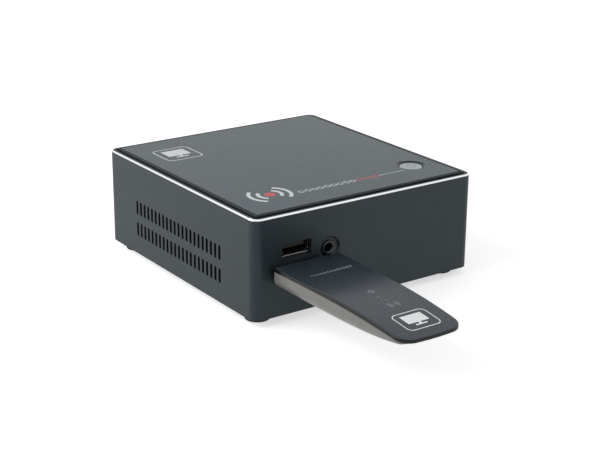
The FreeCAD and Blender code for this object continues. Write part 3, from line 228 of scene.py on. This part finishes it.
def reach(finish, way):
    return finish.node("ShaderNodeVectorMath", way, operation="LENGTH").outputs["Value"]


def ring(finish, centre, radius, line):
    """A circle, drawn with a line of that width."""
    return finish.calc("COMPARE", reach(finish, offset(finish, centre)), radius, line / 2)


def dot(finish, centre, radius):
    return finish.calc("LESS_THAN", reach(finish, offset(finish, centre)), radius)


def round_frame(finish, centre, size, corner, line):
    """The outline of a rectangle with round corners."""
    way = offset(finish, centre)
    folded = finish.node("ShaderNodeVectorMath", way, operation="ABSOLUTE").outputs[0]
    core = (size[0] / 2 - corner, size[1] / 2 - corner, 0)
    past = finish.node("ShaderNodeVectorMath", folded, core, operation="SUBTRACT").outputs[0]
    outside = finish.node("ShaderNodeVectorMath", past, (0, 0, 0), operation="MAXIMUM").outputs[0]
    return finish.calc("COMPARE", reach(finish, outside), corner - line / 2, line / 2)


def join(finish, marks):
    """All of these marks together."""
    whole = marks[0]
    for mark in marks[1:]:
        whole = finish.calc("MAXIMUM", whole, mark)
    return whole


def arcs(finish, centre, radii, line, opening):
    """Pairs of arcs to the left and right of a centre, as drawn for radio waves."""
    way = finish.node("ShaderNodeSeparateXYZ", offset(finish, centre))
    across = finish.calc("ABSOLUTE", way.outputs[0])
    along = finish.calc("ABSOLUTE", way.outputs[1])
    beside = finish.calc("GREATER_THAN", across, finish.calc("MULTIPLY", along, opening))
    rings = join(finish, [ring(finish, centre, radius, line) for radius in radii])
    return finish.calc("MULTIPLY", beside, rings)


def screen(finish, centre, size, line):
    """A small display on its stand, in a frame with round corners. All follows from the frame's size."""
    x, y = centre
    wide, high = size
    edge = round_frame(finish, centre, size, corner=wide * 0.16, line=line)
    panel = bar(finish, (x, y + high * 0.09), (wide * 0.62, high * 0.46))
    neck = bar(finish, (x, y - high * 0.19), (wide * 0.07, high * 0.11))
    foot = bar(finish, (x, y - high * 0.26), (wide * 0.34, high * 0.06))
    return join(finish, [edge, panel, neck, foot])


pale_print = (0.62, 0.65, 0.67)
red_print = (0.55, 0.012, 0.010)
mark_centre = (-33.8, -37.3)
row_y = -41.4
ring_pitch = 3.3
ring_start = -21.0
pale_rings = 9
red_rings = 4
pointer_centre = (26.3, row_y)
pointer_size = (13.8, 0.35)
badge_centre = (-35.4, 33.9)
badge_size = (18.0, 17.5)

plate_coat = satin("plate_coat", colour=(0.006, 0.020, 0.028), clouds=(0.010, 0.025, 0.034),
                   roughness=0.33, grain=0.25, depth=0.006, IOR=1.42,
                   Specular_Tint=(0.72, 0.92, 1.0, 1.0))
row = [ring(plate_coat, (ring_start + ring_pitch * i, row_y), radius=1.15, line=0.4)
       for i in range(pale_rings + red_rings)]
pale_marks = join(plate_coat, row[:pale_rings] + [
    bar(plate_coat, pointer_centre, pointer_size),
    arcs(plate_coat, mark_centre, radii=(5.0, 8.8), line=1.6, opening=0.8),
    screen(plate_coat, badge_centre, badge_size, line=0.55)])
red_marks = join(plate_coat, row[pale_rings:] + [dot(plate_coat, mark_centre, radius=2.4)])
printed = plate_coat.between(pale_marks, plate_coat.tone, pale_print)
plate_coat.paint(colour=plate_coat.between(red_marks, printed, red_print))
dress(plate_coat, "lid_plate")


# Power button
# A silver cap in a black dished ring, with its symbol printed in dark grey. The cap is turned, so
# faint circles run round its middle. Under the lid it rests on the plunger of a push switch.
def ripples(finish, distance, rate):
    """Waves along a distance, with the rate in radians per millimetre."""
    return finish.calc("SINE", finish.calc("MULTIPLY", distance, rate))


cap_low, cap_high = (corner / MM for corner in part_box("button_cap"))
cap_centre = ((cap_low.x + cap_high.x) / 2, (cap_low.y + cap_high.y) / 2)
symbol_radius = 1.9
symbol_line = 0.45
symbol_opening = 1.4
stroke_middle = 1.5
stroke_length = 1.9
symbol_grey = (0.10, 0.11, 0.12)

cap_metal = satin("cap_metal", colour=(0.31, 0.36, 0.38), clouds=(0.35, 0.40, 0.42),
                  roughness=0.34, grain=0.15, depth=0.003, Metallic=0.55)
way = cap_metal.node("ShaderNodeSeparateXYZ", offset(cap_metal, cap_centre))
beside = cap_metal.calc("ABSOLUTE", way.outputs[0])
gap = cap_metal.calc("GREATER_THAN", way.outputs[1], cap_metal.calc("MULTIPLY", beside, symbol_opening))
circle = cap_metal.calc("MULTIPLY", ring(cap_metal, cap_centre, symbol_radius, symbol_line),
                        cap_metal.calc("SUBTRACT", 1.0, gap))
stroke = bar(cap_metal, (cap_centre[0], cap_centre[1] + stroke_middle), (symbol_line, stroke_length))
symbol = join(cap_metal, [circle, stroke])
cap_metal.paint(colour=cap_metal.between(symbol, cap_metal.tone, symbol_grey))
from_middle = reach(cap_metal, offset(cap_metal, cap_centre))
cap_metal.relief(ripples(cap_metal, from_middle, rate=40.0), depth=0.0015)
dress(cap_metal, "button_cap")

bezel_gloss = satin("bezel_gloss", colour=(0.006, 0.007, 0.008), clouds=(0.009, 0.010, 0.011),
                    roughness=0.22, grain=0.2, depth=0.003)
dress(bezel_gloss, "button_bezel")

# Switch plunger
# A small white moulding that stands in the bore of the push switch and carries the cap.
# It goes down with the cap and springs back.
plunger_plastic = satin("plunger_plastic", colour=(0.62, 0.61, 0.57), clouds=(0.68, 0.67, 0.63),
                        roughness=0.4, grain=0.2, depth=0.004)
dress(plunger_plastic, "switch_plunger")

# Base plate
# A flat steel plate with a fine black texture coat. It closes the shell from below, and the four
# long case screws hold it there.
base_coat = satin("base_coat", colour=(0.022, 0.023, 0.025), clouds=(0.030, 0.031, 0.033),
                  roughness=0.55, grain=0.5, depth=0.03)
dress(base_coat, "base_plate")

# Feet
# Grey rings moulded in hard plastic, with black rubber pads glued under them. The long case screws
# go up through their middles.
ring_plastic = satin("ring_plastic", colour=(0.20, 0.21, 0.22), clouds=(0.24, 0.25, 0.26),
                     roughness=0.4, grain=0.3, depth=0.006)
pad_rubber = satin("pad_rubber", colour=(0.008, 0.008, 0.009), clouds=(0.012, 0.012, 0.013),
                   roughness=0.75, grain=0.25, depth=0.02)
dress(ring_plastic, "foot_rings")
dress(pad_rubber, "foot_pads")

# Screws, standoffs and shafts
# Zinc plated steel screws and the fan's steel shaft, with turned brass for the standoffs and the
# fan's bearing sleeve. All are a little uneven in tone, with fine level lines left from turning.
zinc = satin("zinc", colour=(0.50, 0.50, 0.51), clouds=(0.60, 0.60, 0.60),
             roughness=0.3, grain=0.2, depth=0.004, Metallic=1.0)
zinc.relief(zinc.noise(grain=0.12, stretch=(8, 8, 1)), depth=0.01)
dress(zinc, "case_screws", "board_screws", "heat_sink_screws", "fan_screws", "drive_screws",
      "rear_panel_screws", "card_screw", "button_board_screws", "fan_shaft")
brass = satin("brass", colour=(0.60, 0.42, 0.17), clouds=(0.68, 0.50, 0.22),
              roughness=0.28, grain=0.2, depth=0.003, Metallic=1.0)
brass.relief(brass.noise(grain=0.12, stretch=(8, 8, 1)), depth=0.008)
dress(brass, "standoffs", "fan_bearing")

# Mainboard and its cards
# Green boards. Under the solder mask the copper tracks stand up a little and look paler. The
# mainboard is screwed to its standoffs, and the memory and the wireless card plug into it.
lane_scale = 0.35
tracks_per_lane = 4.0
track_middle = 0.5
track_half_width = 0.16
track_green = (0.025, 0.13, 0.055)

board_mask = satin("board_mask", colour=(0.006, 0.045, 0.020), clouds=(0.009, 0.055, 0.026),
                   roughness=0.32, grain=0.3, depth=0.003)
lanes = board_mask.node("ShaderNodeTexVoronoi", board_mask.place, feature="F1", distance="MANHATTAN")
lanes.inputs["Scale"].default_value = lane_scale
steps = board_mask.calc("FRACT", board_mask.calc("MULTIPLY", lanes.outputs[0], tracks_per_lane))
track = board_mask.calc("COMPARE", steps, track_middle, track_half_width)
board_mask.paint(colour=board_mask.between(track, board_mask.tone, track_green))
board_mask.relief(track, depth=0.03)
dress(board_mask, "mainboard", "memory_module", "wireless_card", "button_board", "adapter_board")

# Processor, sockets, port cores and leads
# A matt chip package, and black mouldings for the sockets, the cell's holder, the push switch and
# the cores of ports, inlet and plug. The leads of the antennas and the fan have black covers.
chip_resin = satin("chip_resin", colour=(0.018, 0.018, 0.019), clouds=(0.026, 0.026, 0.027),
                   roughness=0.6, grain=0.12, depth=0.006)
socket_plastic = satin("socket_plastic", colour=(0.012, 0.012, 0.013), clouds=(0.017, 0.017, 0.018),
                       roughness=0.45, grain=0.3, depth=0.006)
lead_cover = satin("lead_cover", colour=(0.010, 0.010, 0.010), clouds=(0.015, 0.015, 0.015),
                   roughness=0.5, grain=0.4, depth=0.01)
dress(chip_resin, "processor")
dress(socket_plastic, "memory_socket", "card_socket", "drive_socket", "cell_holder", "push_switch",
      "front_usb_cores", "rear_usb_cores", "network_port_core", "video_port_cores", "power_inlet",
      "adapter_plug_core")
dress(lead_cover, "antenna_leads", "fan_lead")

# Heat sink
# A block of machined aluminium with upright fins, and the mill's lines along them.
# Screws hold it down over the processor.
sink_metal = satin("sink_metal", colour=(0.62, 0.63, 0.64), clouds=(0.70, 0.71, 0.72),
                   roughness=0.32, grain=0.3, depth=0.003, Metallic=1.0)
sink_metal.relief(sink_metal.noise(grain=0.15, stretch=(1, 30, 1)), depth=0.02)
dress(sink_metal, "heat_sink")

# Fan
# A black moulded frame and rotor, with enamelled copper coils inside the hub. Screws hold the frame
# on top of the heat sink.
fan_plastic = satin("fan_plastic", colour=(0.014, 0.014, 0.015), clouds=(0.019, 0.019, 0.020),
                    roughness=0.4, grain=0.35, depth=0.008)
coil_wire = satin("coil_wire", colour=(0.52, 0.20, 0.07), clouds=(0.62, 0.26, 0.10),
                  roughness=0.25, grain=0.2, depth=0.002, Metallic=1.0)
coil_wire.relief(ripples(coil_wire, coil_wire.z, rate=25.0), depth=0.06)
dress(fan_plastic, "fan_frame", "fan_rotor")
dress(coil_wire, "fan_coils")

# Antennas
# Strips of bare copper foil, glued under the lid frame at the front and at the back.
# A thin lead joins each to the wireless card.
foil = satin("foil", colour=(0.55, 0.27, 0.14), clouds=(0.66, 0.34, 0.19),
             roughness=0.3, grain=0.4, depth=0.004, Metallic=1.0)
dress(foil, "front_antenna", "back_antenna")

# Drive, tray and cell
# A drive in a satin cast case, screwed into a bright sheet tray on the base plate. The adapter's
# shield is of the same sheet, and the clock's cell is bright steel.
drive_metal = satin("drive_metal", colour=(0.50, 0.51, 0.52), clouds=(0.58, 0.59, 0.60),
                    roughness=0.4, grain=0.2, depth=0.006, Metallic=0.9)
sheet_metal = satin("sheet_metal", colour=(0.52, 0.52, 0.53), clouds=(0.60, 0.60, 0.61),
                    roughness=0.34, grain=0.3, depth=0.003, Metallic=1.0)
sheet_metal.relief(sheet_metal.noise(grain=0.1, stretch=(40, 1, 1)), depth=0.006)
cell_metal = satin("cell_metal", colour=(0.66, 0.66, 0.67), clouds=(0.72, 0.72, 0.72),
                   roughness=0.16, grain=0.5, depth=0.002, Metallic=1.0)
dress(drive_metal, "drive")
dress(sheet_metal, "drive_tray", "adapter_shield")
dress(cell_metal, "clock_cell")

# Ports
# Folded shells of nickel plated steel round black plastic cores. Gold plated contacts lie under the
# tongues of the USB ports, and eight bent wires hang from the back wall of the network port. The
# lower lip of the upper front port is painted matt and light, as a painted highlight along its edge.
front_low, front_high = (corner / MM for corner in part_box("front_usb_shell"))
opening_height = 5.12
sheet = 0.4
mouth_slack = 0.05
lip_middle_z = front_high.z - opening_height - 1.5 * sheet
painted_highlight_white = (0.92, 0.93, 0.92)

port_metal = satin("port_metal", colour=(0.60, 0.60, 0.59), clouds=(0.68, 0.68, 0.66),
                   roughness=0.24, grain=0.3, depth=0.003, Metallic=1.0)
port_metal.relief(port_metal.noise(grain=0.08, stretch=(1, 30, 1)), depth=0.004)
# Painted highlight: a matt light stripe on the lower lip of the upper front port.
at_mouth = port_metal.calc("COMPARE", port_metal.y, front_low.y, mouth_slack)
upper_half = port_metal.calc("COMPARE", port_metal.z, lip_middle_z + sheet / 4, sheet / 4)
lip = port_metal.calc("MULTIPLY", at_mouth, upper_half)
port_metal.paint(colour=port_metal.between(lip, port_metal.tone, painted_highlight_white),
                 metallic=port_metal.calc("SUBTRACT", 1.0, lip))
dress(port_metal, "front_usb_shell", "rear_usb_shell", "network_port_shell", "video_port_shells",
      "power_inlet_pin", "adapter_plug_shell")

contact_gold = satin("contact_gold", colour=(0.80, 0.56, 0.22), clouds=(0.86, 0.62, 0.27),
                     roughness=0.22, grain=0.15, depth=0.002, Metallic=1.0)
rounding_share = 0.2


def strip(mesh, across, path, width, thickness):
    """A flat strip of sheet metal that follows a path, which lies in a plane of constant x."""
    loops = []
    for y, z in path:
        corners = [(across - width / 2, y, z), (across + width / 2, y, z),
                   (across + width / 2, y, z - thickness), (across - width / 2, y, z - thickness)]
        verts = [mesh.verts.new(Vector(corner) * MM) for corner in corners]
        loops.append([mesh.edges.new((verts[i - 1], verts[i])) for i in range(4)])
    for near, far in zip(loops, loops[1:]):
        bmesh.ops.bridge_loops(mesh, edges=near + far)
    for end in (loops[0], loops[-1]):
        bmesh.ops.contextual_create(mesh, geom=end)


def contacts(name, places, path, width, thickness):
    """One piece made of equal strips, with their edges rounded."""
    mesh = bmesh.new()
    for across in places:
        strip(mesh, across, path, width, thickness)
    bmesh.ops.recalc_face_normals(mesh, faces=mesh.faces)
    bmesh.ops.bevel(mesh, geom=mesh.edges, offset=thickness * rounding_share * MM, affect="EDGES",
                    segments=2, profile=0.5, material=-1)
    data = bpy.data.meshes.new(name)
    mesh.to_mesh(data)
    mesh.free()
    data.materials.append(contact_gold.material)
    piece = bpy.data.objects.new(name, data)
    bpy.context.scene.collection.objects.link(piece)
    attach(piece, "case")


usb_offsets = (-3.5, -1.0, 1.0, 3.5)
usb_contact_width = 1.0
usb_contact_thickness = 0.2
tongue_below_top = 2.87
port_spacing = 8.8
contact_start = 1.9
contact_length = 7.0


def usb_contacts(name, middle_x, mouth_y, out, z):
    """Four flat contacts under a tongue. out is -1 for a port at the front, and 1 for one at the back."""
    start = mouth_y - out * contact_start
    contacts(name, [middle_x + offset_x for offset_x in usb_offsets],
             [(start, z), (start - out * contact_length, z)], usb_contact_width, usb_contact_thickness)


rear_low, rear_high = (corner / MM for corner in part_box("rear_usb_shell"))
front_middle = (front_low.x + front_high.x) / 2
rear_middle = (rear_low.x + rear_high.x) / 2
rear_upper_z = rear_high.z - tongue_below_top
usb_contacts("front_port_contacts", front_middle, front_low.y, out=-1, z=front_high.z - tongue_below_top)
usb_contacts("rear_upper_contacts", rear_middle, rear_high.y, out=1, z=rear_upper_z)
usb_contacts("rear_lower_contacts", rear_middle, rear_high.y, out=1, z=rear_upper_z - port_spacing)

network_low, network_high = (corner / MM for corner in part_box("network_port_shell"))
network_middle = (network_low.x + network_high.x) / 2
wire_count = 8
wire_pitch = 1.02
wire_width = 0.45
wire_thickness = 0.3
# Each bend lies this far behind the port's mouth, and this far below its top.
wire_bends = ((13.6, 4.1), (12.2, 4.2), (6.4, 6.0), (5.8, 5.9))
wire_places = [network_middle + wire_pitch * (i - (wire_count - 1) / 2) for i in range(wire_count)]
wire_path = [(network_high.y - behind, network_high.z - below) for behind, below in wire_bends]
contacts("network_contacts", wire_places, wire_path, wire_width, wire_thickness)

# Headphone jack
# A black moulded socket that stands on the mainboard behind the front wall. Its dark nozzle fills
# the hole in the shell's dish.
jack_plastic = satin("jack_plastic", colour=(0.006, 0.007, 0.008), clouds=(0.009, 0.010, 0.011),
                     roughness=0.3, grain=0.2, depth=0.004)
dress(jack_plastic, "audio_jack")

# Rear panel
# A black coated sheet behind the shell's window, with holes for the ports. Two screws through the
# shell's back wall hold it.
panel_coat = satin("panel_coat", colour=(0.020, 0.021, 0.023), clouds=(0.026, 0.027, 0.029),
                   roughness=0.45, grain=0.3, depth=0.012)
dress(panel_coat, "rear_panel")

# Wireless adapter
# A satin cover with printed marks, over a boat-shaped hull moulded in warm grey. The cover's top is
# a dark blue grey, and its sides are painted near black as painted shade. Two clear light
# guides show as small dots on the cover.
cover_print = (0.90, 0.91, 0.92)
faint_print = (0.26, 0.31, 0.34)
signal_start = (-41.2, -77.6)
signal_pitch = 1.6
signal_steps = 13
signal_width = 0.9
signal_height = 0.8
signal_growth = 0.1
link_centre = (-31.5, -102.2)
waves_centre = (-31.3, -115.6)
display_centre = (-31.7, -129.1)
display_size = (15.5, 12.4)
least_top_facing = 0.75

cover_coat = satin("cover_coat", colour=(0.026, 0.037, 0.048), clouds=(0.030, 0.042, 0.054),
                   roughness=0.26, grain=0.12, depth=0.0003, IOR=1.35)
signal_bars = []
for step in range(signal_steps):
    height = signal_height + signal_growth * step
    centre = (signal_start[0] + signal_pitch * step, signal_start[1] + height / 2)
    signal_bars.append(bar(cover_coat, centre, (signal_width, height)))
faint_marks = join(cover_coat, signal_bars + [
    ring(cover_coat, link_centre, radius=1.1, line=0.4),
    arcs(cover_coat, waves_centre, radii=(1.1, 2.2), line=0.4, opening=0.9)])
white_marks = screen(cover_coat, display_centre, display_size, line=0.42)
# Painted shade: every face of the cover that doesn't face up is painted near black.
on_top = cover_coat.calc("GREATER_THAN", cover_coat.facing_up(), least_top_facing)
marked = cover_coat.between(faint_marks, cover_coat.tone, faint_print)
printed = cover_coat.between(white_marks, marked, cover_print)
cover_coat.paint(colour=cover_coat.between(on_top, painted_shade_black, printed))
dress(cover_coat, "adapter_cover")

hull_plastic = satin("hull_plastic", colour=(0.150, 0.147, 0.140), clouds=(0.175, 0.171, 0.162),
                     roughness=0.34, grain=0.3, depth=0.006)
dress(hull_plastic, "adapter_hull")

guide_clear = satin("guide_clear", colour=(0.13, 0.16, 0.17), clouds=(0.16, 0.19, 0.20),
                    roughness=0.2, grain=0.3, depth=0.002)
dress(guide_clear, "adapter_light_guides")

# Studio
# A pale floor under a soft white sky. The camera sees both as white, and so do gloss surfaces,
# while the floor keeps a light shadow. One wide lamp hangs over the left and back.
floor_half_size = 4.0
floor_glow = 0.6
sky_light = 0.5
sky_shown = 1.0
also_seen_by = ("Is Glossy Ray", "Is Transmission Ray")

floor_mesh = bmesh.new()
bmesh.ops.create_grid(floor_mesh, x_segments=1, y_segments=1, size=floor_half_size)
bmesh.ops.translate(floor_mesh, verts=floor_mesh.verts, vec=(0, 0, cad_box[0].z))
floor_data = bpy.data.meshes.new("floor")
floor_mesh.to_mesh(floor_data)
floor_mesh.free()
floor = bpy.data.objects.new("floor", floor_data)
bpy.context.scene.collection.objects.link(floor)
floor_paper = Finish("floor_paper", colour=(0.8, 0.8, 0.8), roughness=0.9)
floor_paper.relief(floor_paper.noise(grain=2.0), depth=0.01)
floor_rays = floor_paper.node("ShaderNodeLightPath").outputs
seen = floor_rays["Is Camera Ray"]
for ray in also_seen_by:
    seen = floor_paper.calc("MAXIMUM", seen, floor_rays[ray])
floor_paper.shader.inputs["Emission Color"].default_value = (1, 1, 1, 1)
floor_paper.feed(floor_paper.shader.inputs["Emission Strength"],
                 floor_paper.calc("MULTIPLY", seen, floor_glow))
floor_data.materials.append(floor_paper.material)

sky = bpy.data.worlds.new("sky")
sky.use_nodes = True
bpy.context.scene.world = sky
sky_tree = sky.node_tree
backdrop = sky_tree.nodes["Background"]
backdrop.inputs["Color"].default_value = (1, 1, 1, 1)
sky_rays = sky_tree.nodes.new("ShaderNodeLightPath").outputs
shown = sky_rays["Is Camera Ray"]
for ray in also_seen_by:
    either = sky_tree.nodes.new("ShaderNodeMath")
    either.operation = "MAXIMUM"
    sky_tree.links.new(shown, either.inputs[0])
    sky_tree.links.new(sky_rays[ray], either.inputs[1])
    shown = either.outputs[0]
strength = sky_tree.nodes.new("ShaderNodeMapRange")
strength.inputs["To Min"].default_value = sky_light
strength.inputs["To Max"].default_value = sky_shown
sky_tree.links.new(shown, strength.inputs["Value"])
sky_tree.links.new(strength.outputs[0], backdrop.inputs["Strength"])

lamp_data = bpy.data.lights.new("soft_lamp", "AREA")
lamp_data.shape = "RECTANGLE"
lamp_data.size = 0.9
lamp_data.size_y = 0.7
lamp_data.energy = 6.0
lamp = bpy.data.objects.new("soft_lamp", lamp_data)
lamp.location = (-0.75, 0.25, 0.55)
lamp.rotation_euler = (-lamp.location).to_track_quat("-Z", "Y").to_euler()
bpy.context.scene.collection.objects.link(lamp)

# Camera
# It stands to the left, in front of and above the case, and looks down on it by about 19 degrees.
# Its place and turn were solved from the edges and corners of the case in the photograph.
camera_place = Vector((-335.71, -485.15, 220.71)) * MM
yaw, pitch, roll = (math.radians(angle) for angle in (-35.296, 19.428, 0.494))
ahead = Vector((-math.sin(yaw) * math.cos(pitch), math.cos(yaw) * math.cos(pitch), -math.sin(pitch)))
level = Vector((math.cos(yaw), math.sin(yaw), 0))
upward = level.cross(ahead)
right = level * math.cos(roll) + upward * math.sin(roll)
up = upward * math.cos(roll) - level * math.sin(roll)
camera_data = bpy.data.cameras.new("camera")
camera_data.lens = 83.8
camera_data.sensor_width = 36.0
camera_data.clip_start = 0.01
camera = bpy.data.objects.new("camera", camera_data)
camera.matrix_world = Matrix.Translation(camera_place) @ Matrix((right, up, -ahead)).transposed().to_4x4()
bpy.context.scene.collection.objects.link(camera)
bpy.context.scene.camera = camera
bpy.context.scene.view_settings.view_transform = "Standard"
